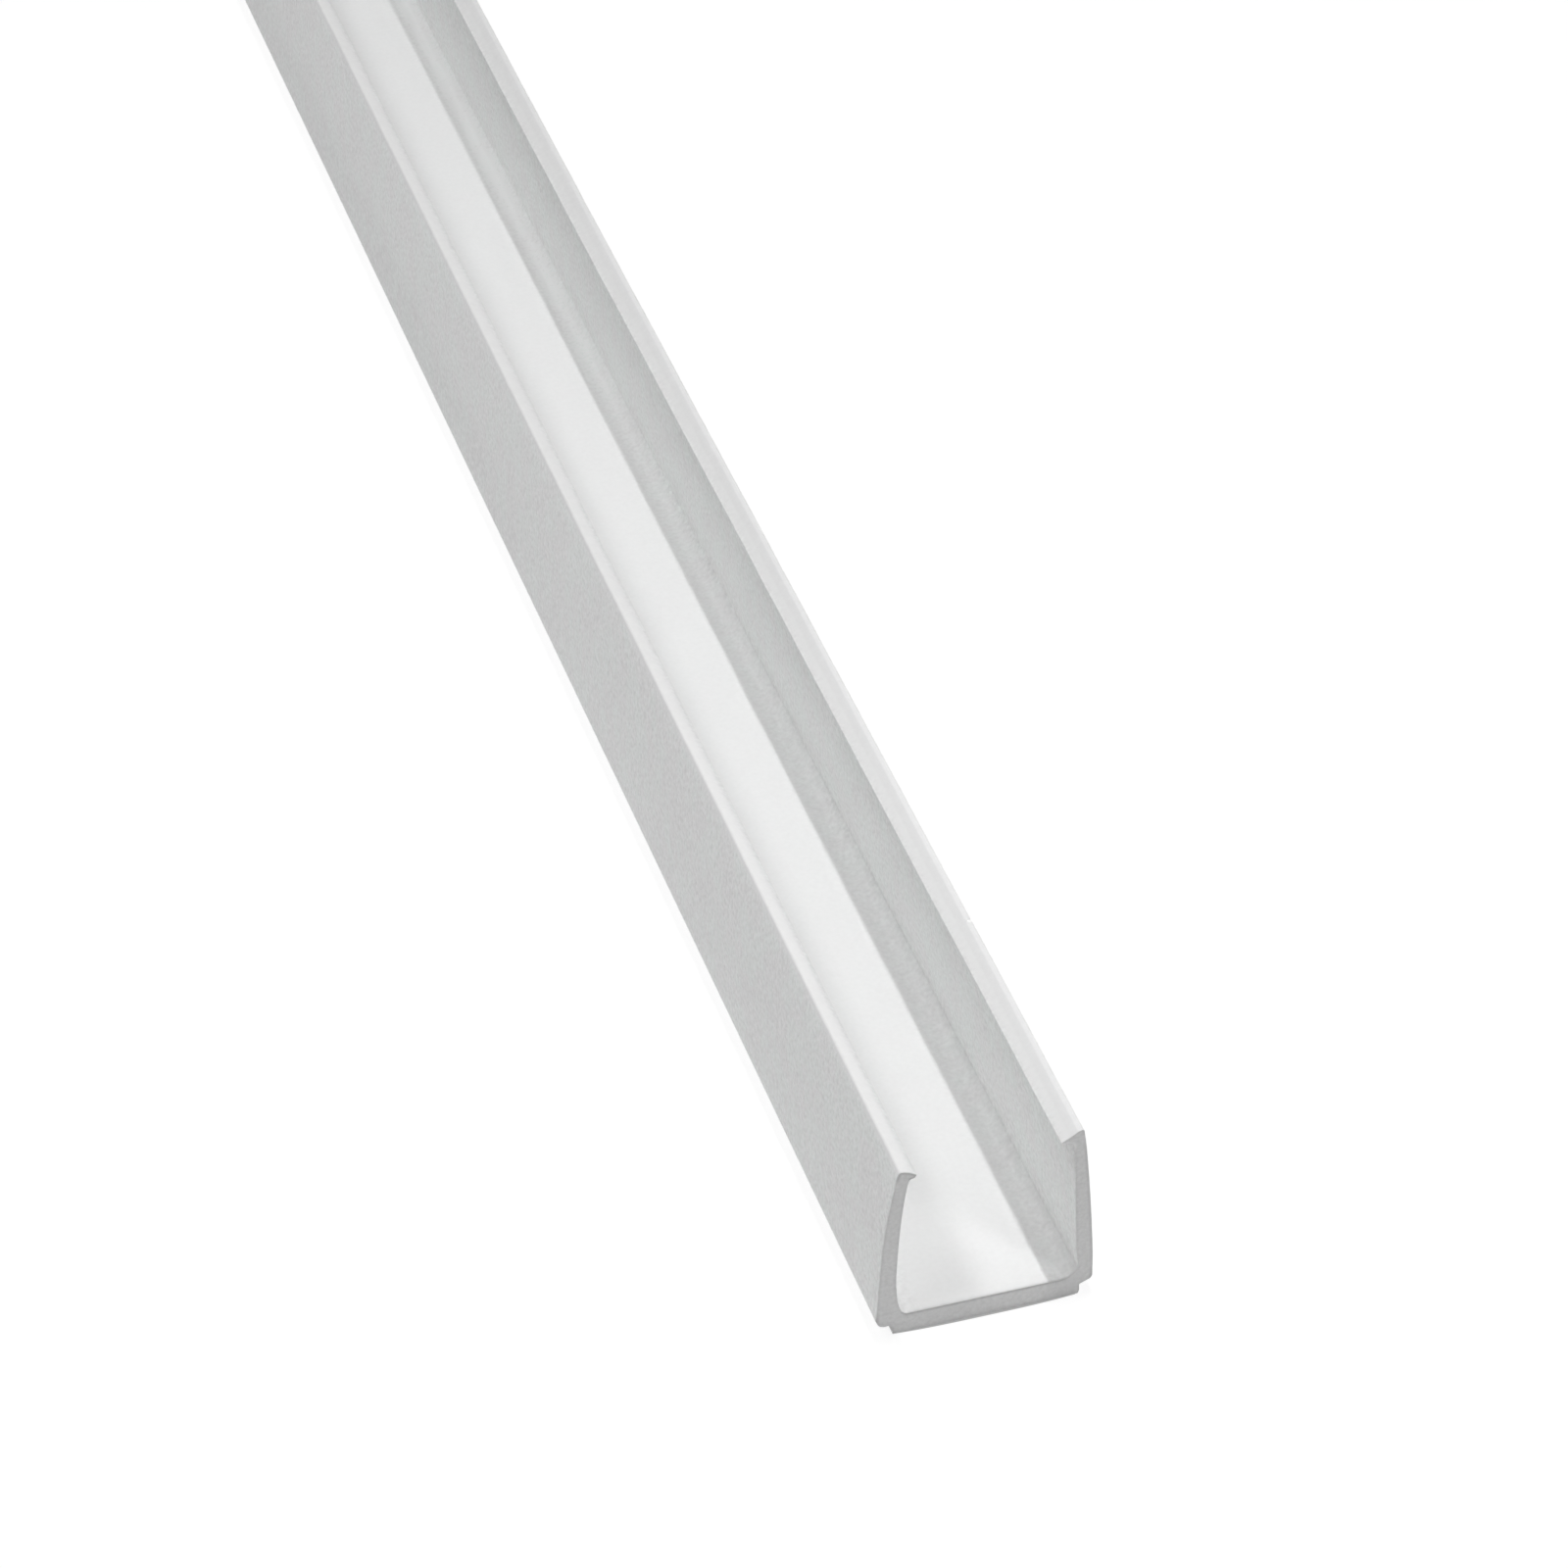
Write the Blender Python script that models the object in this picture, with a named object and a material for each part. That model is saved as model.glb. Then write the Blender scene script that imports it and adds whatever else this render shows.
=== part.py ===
"""LED strip profile: one length of extruded plastic channel.

The channel is a single extrusion, sawn square at both ends.  Its section is a
flat base on a thin mounting pad, with two springy walls that bend inward and
end in hooked lips, which snap over the strip or tube that is pressed in.

Metres, +Z up.  The length runs along Y, the width along X, and the origin is
at the middle of the pad's underside.
"""

import math

import bmesh
import bpy

# Overall sizes
LENGTH = 0.500
WIDTH = 0.020
MOUTH_WIDTH = 0.013

# Mounting pad and base
PAD_WIDTH = 0.0176
PAD_THICKNESS = 0.0010
BASE_THICKNESS = 0.0011
LEFT_PAD_TOE_IN = 0.0004
RIGHT_PAD_TOE_IN = 0.00005
PAD_EDGE_RADIUS = 0.00018

# Walls: the left one stands a little lower and bends further in
LEFT_WALL_TOP = 0.0188
RIGHT_WALL_TOP = 0.0192
LEFT_WALL_LEAN = 0.0018
RIGHT_WALL_LEAN = 0.0013
LEFT_WALL_DRAFT = math.radians(1.6)
RIGHT_WALL_DRAFT = math.radians(0.8)
LEFT_FOOT_THICKNESS = 0.0017
RIGHT_FOOT_THICKNESS = 0.0016
WALL_TOP_THICKNESS = 0.00114

# Outer heel, where each wall turns under the base towards the pad
LEFT_HEEL_RADIUS = 0.00085
RIGHT_HEEL_RADIUS = 0.0004
LEFT_HEEL_SLOPE = math.radians(0.0)
RIGHT_HEEL_SLOPE = math.radians(22.0)

# Inner corner between wall and floor, an elliptical fillet
LEFT_FILLET_WIDTH = 0.00095
LEFT_FILLET_HEIGHT = 0.0034
RIGHT_FILLET_WIDTH = 0.0014
RIGHT_FILLET_HEIGHT = 0.0009

# Shallow groove along the right wall's foot, just above its fillet
FOOT_GROOVE_DEPTH = 0.00014
FOOT_GROOVE_HEIGHT = 0.00036
NO_GROOVE = (0.0, 0.0)

# Hooked lips: the top face falls inward to a round nose
LEFT_LIP_FALL = math.radians(21.5)
RIGHT_LIP_FALL = math.radians(24.5)
LEFT_LIP_DEPTH = 0.0013
RIGHT_LIP_DEPTH = 0.0014
LIP_NOSE_RADIUS = 0.00015
LIP_ROOT_RADIUS = 0.0003

# Crown, where the outer face turns over into the lip
LEFT_CROWN_RADIUS = 0.0004
RIGHT_CROWN_RADIUS = 0.00015

# Facets
WALL_STEPS = 16
FILLET_STEPS = 12
CORNER_STEPS = 6

# Finish
PLASTIC_COLOUR = (0.90, 0.90, 0.90, 1.0)
PLASTIC_ROUGHNESS = 0.42


def arc(centre, radii, start, end, steps):
    """Points on an ellipse's arc, from one angle to another."""
    points = []
    for step in range(steps + 1):
        angle = start + (end - start) * step / steps
        x = centre[0] + radii[0] * math.cos(angle)
        z = centre[1] + radii[1] * math.sin(angle)
        points.append((x, z))
    return points


def rounded_corner(before, corner, after, radius, steps):
    """Points of the arc that rounds a corner between two straight runs."""
    to_before = (before[0] - corner[0], before[1] - corner[1])
    to_after = (after[0] - corner[0], after[1] - corner[1])
    first = math.atan2(to_before[1], to_before[0])
    second = math.atan2(to_after[1], to_after[0])
    opening = (second - first + math.pi) % (2 * math.pi) - math.pi
    middle = first + opening / 2
    reach = radius / math.sin(abs(opening) / 2)
    centre = (corner[0] + reach * math.cos(middle), corner[1] + reach * math.sin(middle))
    turn = math.copysign(math.pi - abs(opening), opening)
    start = middle + math.pi + turn / 2
    return arc(centre, (radius, radius), start, start - turn, steps)


class Side:
    """One half of the section, drawn with x growing outward from the middle."""

    def __init__(self, *, top, lean, draft, foot, toe_in, heel, fillet, groove, lip, crown_radius):
        self.top = top
        self.lean = lean
        self.draft = draft
        self.foot = foot
        self.toe_in = toe_in
        self.heel_radius, self.heel_slope = heel
        self.fillet_width, self.fillet_height = fillet
        self.groove_depth, self.groove_height = groove
        self.lip_fall, self.lip_depth = lip
        self.crown_radius = crown_radius
        heel_x = WIDTH / 2 - self.heel_radius
        touch_x = heel_x + self.heel_radius * math.sin(self.heel_slope)
        touch_z = PAD_THICKNESS + (touch_x - PAD_WIDTH / 2) * math.tan(self.heel_slope)
        self.heel = (heel_x, touch_z + self.heel_radius * math.cos(self.heel_slope))

    def outer_x(self, z):
        """The wall's outer face: a slight draft from the heel up, and an arc that bends it in."""
        height = self.top - self.heel[1]
        bent_in = self.lean - height * math.tan(self.draft)
        bend = (height**2 + bent_in**2) / (2 * bent_in)
        rise = z - self.heel[1]
        drawn_in = rise * math.tan(self.draft)
        return WIDTH / 2 - drawn_in - bend + math.sqrt(bend**2 - rise**2)

    def inner_x(self, z):
        """The wall's inner face, which thins steadily towards the top."""
        share = (z - self.heel[1]) / (self.top - self.heel[1])
        thickness = self.foot + (WALL_TOP_THICKNESS - self.foot) * share
        return self.outer_x(z) - thickness

    def pad_points(self):
        """The pad's edge, from its underside up to the base."""
        bottom = (PAD_WIDTH / 2 - self.toe_in, 0.0)
        top = (PAD_WIDTH / 2, PAD_THICKNESS)
        return rounded_corner((0.0, 0.0), bottom, top, PAD_EDGE_RADIUS, CORNER_STEPS) + [top]

    def heel_points(self):
        """The rounded heel, from the base's underside to the outer face."""
        radii = (self.heel_radius, self.heel_radius)
        return arc(self.heel, radii, self.heel_slope - math.pi / 2, 0.0, CORNER_STEPS)

    def outer_points(self):
        """The outer face, above the heel and below the top corner."""
        span = self.top - self.heel[1]
        levels = [self.heel[1] + span * step / WALL_STEPS for step in range(1, WALL_STEPS)]
        return [(self.outer_x(z), z) for z in levels]

    def lip_points(self, below_corner):
        """The top corner, the lip's falling top face, its nose and its underside."""
        corner = (self.outer_x(self.top), self.top)
        nose_x = MOUTH_WIDTH / 2 + LIP_NOSE_RADIUS
        fall = (corner[0] - nose_x) * math.tan(self.lip_fall)
        nose_z = self.top - fall - LIP_NOSE_RADIUS / math.cos(self.lip_fall)
        nose = (nose_x, nose_z)
        radii = (LIP_NOSE_RADIUS, LIP_NOSE_RADIUS)
        nose_arc = arc(nose, radii, math.pi / 2 + self.lip_fall, 1.5 * math.pi, CORNER_STEPS)
        root_z = self.top - self.lip_depth
        root = (self.inner_x(root_z), root_z)
        wall_z = root_z - 2 * LIP_ROOT_RADIUS
        below_root = (self.inner_x(wall_z), wall_z)
        points = rounded_corner(below_corner, corner, nose_arc[0], self.crown_radius, CORNER_STEPS)
        points += nose_arc
        points += rounded_corner(nose_arc[-1], root, below_root, LIP_ROOT_RADIUS, CORNER_STEPS)
        return points

    def inner_points(self):
        """The inner face from under the lip down, its foot groove if it has one, and the fillet."""
        start = self.top - self.lip_depth - 2 * LIP_ROOT_RADIUS
        fillet_top = PAD_THICKNESS + BASE_THICKNESS + self.fillet_height
        end = fillet_top + self.groove_height
        levels = [start + (end - start) * step / WALL_STEPS for step in range(WALL_STEPS)]
        points = [(self.inner_x(z), z) for z in levels]
        foot_x = self.inner_x(fillet_top)
        if self.groove_depth > 0.0:
            middle = (foot_x, fillet_top + self.groove_height / 2)
            radii = (self.groove_depth, self.groove_height / 2)
            points += arc(middle, radii, math.pi / 2, -math.pi / 2, CORNER_STEPS)[:-1]
        centre = (foot_x - self.fillet_width, fillet_top)
        radii = (self.fillet_width, self.fillet_height)
        return points + arc(centre, radii, 0.0, -math.pi / 2, FILLET_STEPS)

    def points(self):
        """The whole half, from the pad's underside round to the floor."""
        outer = self.outer_points()
        return (
            self.pad_points()
            + self.heel_points()
            + outer
            + self.lip_points(outer[-1])
            + self.inner_points()
        )


def section():
    """The closed section, counter-clockwise, as (x, z) pairs."""
    left = Side(
        top=LEFT_WALL_TOP,
        lean=LEFT_WALL_LEAN,
        draft=LEFT_WALL_DRAFT,
        foot=LEFT_FOOT_THICKNESS,
        toe_in=LEFT_PAD_TOE_IN,
        heel=(LEFT_HEEL_RADIUS, LEFT_HEEL_SLOPE),
        fillet=(LEFT_FILLET_WIDTH, LEFT_FILLET_HEIGHT),
        groove=NO_GROOVE,
        lip=(LEFT_LIP_FALL, LEFT_LIP_DEPTH),
        crown_radius=LEFT_CROWN_RADIUS,
    )
    right = Side(
        top=RIGHT_WALL_TOP,
        lean=RIGHT_WALL_LEAN,
        draft=RIGHT_WALL_DRAFT,
        foot=RIGHT_FOOT_THICKNESS,
        toe_in=RIGHT_PAD_TOE_IN,
        heel=(RIGHT_HEEL_RADIUS, RIGHT_HEEL_SLOPE),
        fillet=(RIGHT_FILLET_WIDTH, RIGHT_FILLET_HEIGHT),
        groove=(FOOT_GROOVE_DEPTH, FOOT_GROOVE_HEIGHT),
        lip=(RIGHT_LIP_FALL, RIGHT_LIP_DEPTH),
        crown_radius=RIGHT_CROWN_RADIUS,
    )
    mirrored = [(-x, z) for x, z in reversed(left.points())]
    return right.points() + mirrored


def extruded_outline(name, outline, length, collection):
    """A flat outline drawn as a filled curve and extruded along Y, as a mesh."""
    curve = bpy.data.curves.new(name + "_outline", "CURVE")
    curve.dimensions = "2D"
    curve.fill_mode = "BOTH"
    curve.extrude = length / 2
    spline = curve.splines.new("POLY")
    spline.points.add(len(outline) - 1)
    for point, (x, z) in zip(spline.points, outline):
        point.co = (x, z, 0.0, 1.0)
    spline.use_cyclic_u = True
    drawn = bpy.data.objects.new(name + "_outline", curve)
    collection.objects.link(drawn)
    drawn.rotation_euler = (math.pi / 2, 0.0, 0.0)
    bpy.context.view_layer.update()

    evaluated = drawn.evaluated_get(bpy.context.evaluated_depsgraph_get())
    mesh = bpy.data.meshes.new_from_object(evaluated)
    mesh.name = name
    weld = bmesh.new()
    weld.from_mesh(mesh)
    bmesh.ops.remove_doubles(weld, verts=weld.verts, dist=1e-6)
    bmesh.ops.recalc_face_normals(weld, faces=weld.faces)
    weld.to_mesh(mesh)
    weld.free()

    solid = bpy.data.objects.new(name, mesh)
    collection.objects.link(solid)
    solid.matrix_world = drawn.matrix_world
    bpy.data.objects.remove(drawn)
    return solid


def plastic(name, colour, roughness):
    """A plain moulded-plastic material."""
    material = bpy.data.materials.new(name)
    material.use_nodes = True
    shader = material.node_tree.nodes["Principled BSDF"]
    shader.inputs["Base Color"].default_value = colour
    shader.inputs["Roughness"].default_value = roughness
    shader.inputs["Metallic"].default_value = 0.0
    material.diffuse_color = colour
    return material


def main():
    for existing in list(bpy.data.objects):
        bpy.data.objects.remove(existing)
    parts = bpy.data.collections.new("led_strip_profile")
    bpy.context.scene.collection.children.link(parts)

    channel = extruded_outline("channel_profile", section(), LENGTH, parts)
    channel.data.materials.append(plastic("white_pvc", PLASTIC_COLOUR, PLASTIC_ROUGHNESS))
    channel.data.shade_smooth()
    channel.data.set_sharp_from_angle(angle=math.radians(25.0))


main()
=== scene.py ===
# %% [markdown]
# # A white plastic LED channel, from the die's drawing to the studio
#
# The object is one length of hard white plastic profile. A strip or tube of LEDs is pressed in
# between its two springy walls, and the small hooked lips at their tops hold it there. The real
# channel is pushed through a die as one endless piece and sawn to length, so everything that
# makes it look real is either in the section (small radii, walls that aren't quite alike), along
# the length (die lines, lips that waver a little) or at the sawn end.
#
# The lesson goes in that order: the frame that gives the real size, the camera and the light,
# the section, the sweep along the length, and then the finish of the skin and of the sawn ends.

import math

import bmesh
import bpy
from mathutils import Matrix, Vector, geometry, kdtree, noise


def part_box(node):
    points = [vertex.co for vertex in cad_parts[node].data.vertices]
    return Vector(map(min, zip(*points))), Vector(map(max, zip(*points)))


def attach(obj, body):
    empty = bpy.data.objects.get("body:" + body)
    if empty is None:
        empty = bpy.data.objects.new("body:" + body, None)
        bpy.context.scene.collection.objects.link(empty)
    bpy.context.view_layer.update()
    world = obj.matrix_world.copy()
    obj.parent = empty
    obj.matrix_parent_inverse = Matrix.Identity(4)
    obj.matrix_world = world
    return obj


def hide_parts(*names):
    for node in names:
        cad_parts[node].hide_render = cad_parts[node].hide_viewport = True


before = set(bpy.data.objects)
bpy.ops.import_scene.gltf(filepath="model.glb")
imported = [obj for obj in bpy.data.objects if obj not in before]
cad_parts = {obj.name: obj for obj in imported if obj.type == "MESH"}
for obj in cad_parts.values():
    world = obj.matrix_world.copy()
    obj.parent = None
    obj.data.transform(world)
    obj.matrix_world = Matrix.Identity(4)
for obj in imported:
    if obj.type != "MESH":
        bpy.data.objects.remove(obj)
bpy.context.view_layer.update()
MM = 0.001
scene = bpy.context.scene
scene.view_settings.view_transform = "Standard"

# %% [markdown]
# ## The camera
#
# The photograph is taken from a fair way off with a long lens, from above and a little to the
# left of the sawn end, so the channel runs away to the upper left. Two things fix such a camera:
# the point where the long edges meet, and the slope of the sawn end's bottom edge. It could be
# placed by eye, but with a part this slim half a degree shows, so the position, the two angles
# and the lens are the values that make the edges of the real section fall where they should.
# The camera stands level, and a target point would only add an object, so the turn is set
# straight on the camera.

# %% Place the camera
CAMERA_PLACE = (-0.13024525, -0.60450834, 0.35335007)
LOOKING_DOWN = math.radians(37.985)
TURNED_RIGHT = math.radians(17.519)
LENS_LENGTH = 135.222


def add_camera(name, place, down, right, lens):
    """A level camera that looks down and to the right by the given angles."""
    data = bpy.data.cameras.new(name)
    data.lens = lens
    data.sensor_width = 36.0
    data.clip_start = 0.01
    data.clip_end = 50.0
    camera = bpy.data.objects.new(name, data)
    camera.location = place
    camera.rotation_euler = (math.pi / 2 - down, 0.0, -right)
    scene.collection.objects.link(camera)
    return camera


scene.camera = add_camera("photo_camera", CAMERA_PLACE, LOOKING_DOWN, TURNED_RIGHT, LENS_LENGTH)
down_degrees = round(math.degrees(LOOKING_DOWN), 1)
print("camera lens", LENS_LENGTH, "mm, looking down", down_degrees, "degrees")

# %% [markdown]
# ## Node helpers
#
# Every finish below is a small tree of shader nodes. Writing each node out in four lines would
# hide the idea, so two helpers do the clerical part: one adds a node and fills its inputs, where
# an input may be a plain value or another node's output, and one opens a node group with named
# inputs and outputs. A group is built once and then placed in each material with its own values.

# %% Helpers for shader nodes
SOCKET_KINDS = {
    "value": "NodeSocketFloat",
    "colour": "NodeSocketColor",
    "vector": "NodeSocketVector",
}


def add_node(tree, kind, inputs=None, **settings):
    """Adds a node, sets its own settings, then fills inputs with values or links."""
    made = tree.nodes.new(kind)
    for setting, value in settings.items():
        setattr(made, setting, value)
    for socket, value in (inputs or {}).items():
        if isinstance(value, bpy.types.NodeSocket):
            tree.links.new(value, made.inputs[socket])
        else:
            made.inputs[socket].default_value = value
    return made


def arithmetic(tree, operation, *values):
    """One step of arithmetic as a node; gives back its result."""
    step = add_node(tree, "ShaderNodeMath", dict(enumerate(values)), operation=operation)
    return step.outputs[0]


def mixed_colour(tree, share, first, second):
    """The first colour where the share is 0, the second where it is 1."""
    # This node has sockets for several kinds of data; 6, 7 and result 2 are its colours.
    colour_inputs = {0: share, 6: first, 7: second}
    return add_node(tree, "ShaderNodeMix", colour_inputs, data_type="RGBA").outputs[2]


def toned_colour(tree, colour, level):
    """The colour made lighter or darker by a level round 1."""
    scaled = add_node(tree, "ShaderNodeVectorMath", {0: colour, "Scale": level}, operation="SCALE")
    return scaled.outputs[0]


def open_group(name, inputs, outputs):
    """A new node group with its own inputs and results; both map a name to a kind."""
    group = bpy.data.node_groups.new(name, "ShaderNodeTree")
    for socket, kind in inputs.items():
        group.interface.new_socket(socket, in_out="INPUT", socket_type=SOCKET_KINDS[kind])
    for socket, kind in outputs.items():
        group.interface.new_socket(socket, in_out="OUTPUT", socket_type=SOCKET_KINDS[kind])
    given = group.nodes.new("NodeGroupInput").outputs
    result = group.nodes.new("NodeGroupOutput").inputs
    return group, given, result


def place_group(tree, group, inputs):
    """The group as one node in a material, with this material's values; gives its outputs."""
    return add_node(tree, "ShaderNodeGroup", inputs, node_tree=group).outputs


print("kinds of socket:", ", ".join(SOCKET_KINDS))

# %% [markdown]
# ## A white floor that keeps the shadow
#
# The object is shown on pure white, as in a catalogue. Pouring light on the floor until it turns
# white would burn out the object as well. Instead the floor is a plain matt white, and for rays
# that come straight from the camera or by way of a reflection it also shines by itself. Near the
# object a share of the real, lit surface is kept, so the soft shadow stays; further out the floor
# is all even white. The shine would also wash out the thin contact shadow where the object touches
# the floor, so that shadow is painted back round the foot of the pad as a dark glowing line. It is
# widest in the middle of the cut end, where the photograph's bottom edge hangs lowest, and narrows
# to a trace at the corners and along the sides. The world works like the floor: white to the
# camera, a soft even sky to the object.

# %% Make the floor
FLOOR_RADIUS = 6.0
FLOOR_WHITE = (0.86, 0.86, 0.86, 1.0)
FLOOR_GLOW = 1.12
LIT_SHARE = 0.22
LIT_REACH = 0.30
FOOT_HALF_SIZE = (0.0084, 0.2500)
CONTACT_WIDTH = 0.00034
CONTACT_CORE = 0.6
CONTACT_TAPER = 0.00024
TAPER_POWER = 3.0
CONTACT_SHADOW_GREY = 0.38


def seen_directly(tree):
    """1 for rays that the eye sees, straight, mirrored or through glass; 0 for light."""
    path = add_node(tree, "ShaderNodeLightPath").outputs
    seen = arithmetic(tree, "MAXIMUM", path["Is Camera Ray"], path["Is Glossy Ray"])
    return arithmetic(tree, "MAXIMUM", seen, path["Is Transmission Ray"])


def painted_contact_shadow(tree, place):
    """Where the contact shadow is painted: 1 at the foot of the object, fading to 0 within a
    fraction of a millimetre of it.
    """
    ways = add_node(tree, "ShaderNodeSeparateXYZ", {0: place}).outputs
    across, along = (arithmetic(tree, "ABSOLUTE", ways[axis]) for axis in ("X", "Y"))
    beside = arithmetic(tree, "SUBTRACT", across, FOOT_HALF_SIZE[0])
    before = arithmetic(tree, "SUBTRACT", along, FOOT_HALF_SIZE[1])
    sideways = arithmetic(tree, "DIVIDE", across, FOOT_HALF_SIZE[0])
    taper = arithmetic(tree, "POWER", sideways, TAPER_POWER)
    taper = arithmetic(tree, "MULTIPLY", taper, CONTACT_TAPER)
    gap = arithmetic(tree, "ADD", arithmetic(tree, "MAXIMUM", beside, before), taper)
    fade = {"Value": gap, "From Min": CONTACT_WIDTH, "From Max": CONTACT_CORE * CONTACT_WIDTH}
    line = add_node(tree, "ShaderNodeMapRange", fade, interpolation_type="SMOOTHSTEP")
    return line.outputs["Result"]


def floor_material(name):
    """Matt white that glows for the eye only, with a lit patch round the middle and a painted
    contact shadow round the foot.
    """
    material = bpy.data.materials.new(name)
    material.use_nodes = True
    tree = material.node_tree
    tree.nodes.clear()
    place = add_node(tree, "ShaderNodeTexCoord").outputs["Object"]
    out = add_node(tree, "ShaderNodeVectorMath", {0: place}, operation="LENGTH").outputs["Value"]
    fade = {"Value": out, "From Min": LIT_REACH, "From Max": 2 * LIT_REACH}
    fade |= {"To Min": LIT_SHARE, "To Max": 0.0}
    share = add_node(tree, "ShaderNodeMapRange", fade, interpolation_type="SMOOTHSTEP")
    glow_share = arithmetic(tree, "SUBTRACT", 1.0, share.outputs["Result"])
    glow_share = arithmetic(tree, "MULTIPLY", glow_share, seen_directly(tree))
    lit = add_node(tree, "ShaderNodeBsdfDiffuse", {"Color": FLOOR_WHITE}).outputs["BSDF"]
    glow = add_node(tree, "ShaderNodeEmission", {"Strength": FLOOR_GLOW}).outputs["Emission"]
    mixed = {0: glow_share, 1: lit, 2: glow}
    mixed = add_node(tree, "ShaderNodeMixShader", mixed).outputs["Shader"]
    # A dark glowing grey: the contact shadow painted round the foot of the pad.
    dark = add_node(tree, "ShaderNodeEmission", {"Strength": CONTACT_SHADOW_GREY}).outputs["Emission"]
    touched = {0: painted_contact_shadow(tree, place), 1: mixed, 2: dark}
    mixed = add_node(tree, "ShaderNodeMixShader", touched).outputs["Shader"]
    add_node(tree, "ShaderNodeOutputMaterial", {"Surface": mixed})
    return material


floor_mesh = bpy.data.meshes.new("studio_floor")
disc = bmesh.new()
bmesh.ops.create_circle(disc, cap_ends=True, segments=96, radius=FLOOR_RADIUS)
disc.to_mesh(floor_mesh)
disc.free()
floor_mesh.materials.append(floor_material("studio_floor"))
floor = bpy.data.objects.new("studio_floor", floor_mesh)
scene.collection.objects.link(floor)
print("floor", 2 * FLOOR_RADIUS, "m across")

# %% Make the sky
SKY_LIGHT = 0.10
SKY_WHITE = 1.0


def soft_sky(name):
    """An even world: white where it is seen, softer where it lights."""
    world = bpy.data.worlds.new(name)
    world.use_nodes = True
    tree = world.node_tree
    tree.nodes.clear()
    level = {"Value": seen_directly(tree), "To Min": SKY_LIGHT, "To Max": SKY_WHITE}
    strength = add_node(tree, "ShaderNodeMapRange", level).outputs["Result"]
    shine = add_node(tree, "ShaderNodeBackground", {"Strength": strength}).outputs["Background"]
    add_node(tree, "ShaderNodeOutputWorld", {"Surface": shine})
    return world


scene.world = soft_sky("studio_sky")
print("sky lights with", SKY_LIGHT, "and looks like", SKY_WHITE)

# %% [markdown]
# ## The lamps
#
# The shadows inside the channel tell where the lamps are. The right lip throws a sharp shadow
# whose edge runs straight along the floor, so the main lamp is a narrow strip overhead, just to
# the right of the channel. It ends level with the sawn end, or its light would reach round the
# wall there. The left lip's shadow is wide and faint, so two softboxes stand on the left, a
# strong one high up and a weak one lower. Near the sawn end the floor brightens along a slanting
# line, where light comes in past the end of the right wall: that is a small softbox to the right
# of the camera, which also lights the sawn face. A wide one behind lifts the far end, and its
# left part reaches the foot of the right wall, which hides from most lamps under its lip. A low
# one keeps the right side from going dull. Each is an area lamp: its size sets how soft the
# shadow is, its strength only how bright the lit side.

# %% Hang the lamps
AIM = Vector((0.0, -0.17, 0.01))


def add_lamp(name, place, size, power, aim=AIM):
    """A rectangular lamp that faces the aim; size is level and upward, in metres."""
    data = bpy.data.lights.new(name, "AREA")
    data.shape = "RECTANGLE"
    data.size, data.size_y = size
    data.energy = power
    lamp = bpy.data.objects.new(name, data)
    lamp.location = place
    lamp.rotation_euler = (Vector(place) - aim).to_track_quat("Z", "Y").to_euler()
    scene.collection.objects.link(lamp)
    print("lamp", name, "at", place, "power", power)


STRIP_PLACE = (0.024, -0.22, 0.40)
strip_aim = Vector((STRIP_PLACE[0], STRIP_PLACE[1], 0.0))
add_lamp("overhead_strip", STRIP_PLACE, (0.010, 0.06), 0.565, aim=strip_aim)
add_lamp("left_high_softbox", (-0.391, -0.10, 0.931), (0.60, 0.15), 1.95)
add_lamp("left_low_softbox", (-0.643, -0.20, 0.776), (0.60, 0.15), 0.73)
add_lamp("front_right_softbox", (0.454, -0.897, 0.525), (0.20, 0.20), 1.74)
add_lamp("back_softbox", (-0.075, 0.679, 0.859), (0.75, 0.40), 1.65)
add_lamp("right_low_softbox", (0.94, -0.17, 0.352), (0.60, 0.30), 0.87)

# %% [markdown]
# ## The section, drawn like the die's opening
#
# A die maker draws the opening as corners, each with its own radius, because the wire that cuts
# the die can only follow straight runs and arcs. The section is written down the same way here:
# how far across, how high, and the corner's radius, in millimetres. A very large radius means
# "as round as the neighbours leave room for", which is how the long bend of a wall is drawn.
#
# The two sides aren't mirror images on the real piece. The left wall stands lower, bends further
# in and rises from a fat heel; the right wall meets the floor with a ramp and a small groove, and
# its lip is longer and sharper. A symmetric section would look neat and wrong, so each half has
# its own list.

# %% Draw the two halves
SMOOTH = 500.0

RIGHT_HALF = [
    (8.70, 0.00, 0.16),  # pad, lower edge
    (8.84, 0.40, 0.40),  # pad, side
    (8.82, 1.06, 0.05),  # pad meets the base
    (9.84, 1.50, 0.25),  # underside of the heel
    (10.0, 1.82, 0.30),  # heel
    (9.97, 4.40, SMOOTH),  # outer face, nearly upright at first
    (9.70, 8.95, SMOOTH),
    (9.33, 13.6, SMOOTH),
    (8.95, 17.5, SMOOTH),
    (8.69, 19.17, 0.24),  # crown
    (8.13, 19.02, 0.40),  # lip, top face
    (7.50, 18.59, 1.00),
    (6.60, 18.08, 0.07),  # nose
    (6.65, 17.93, 0.08),
    (7.66, 17.81, 0.16),  # lip, underside
    (7.83, 17.35, 0.30),  # root, where the lip grows out of the wall
    (8.01, 13.9, SMOOTH),  # inner face
    (8.20, 9.30, SMOOTH),
    (8.38, 5.00, SMOOTH),
    (8.53, 3.70, 1.00),
    (8.56, 3.02, 0.16),  # groove at the foot
    (7.78, 2.29, 0.90),  # ramp
    (7.15, 2.10, 1.20),  # floor begins
]

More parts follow.
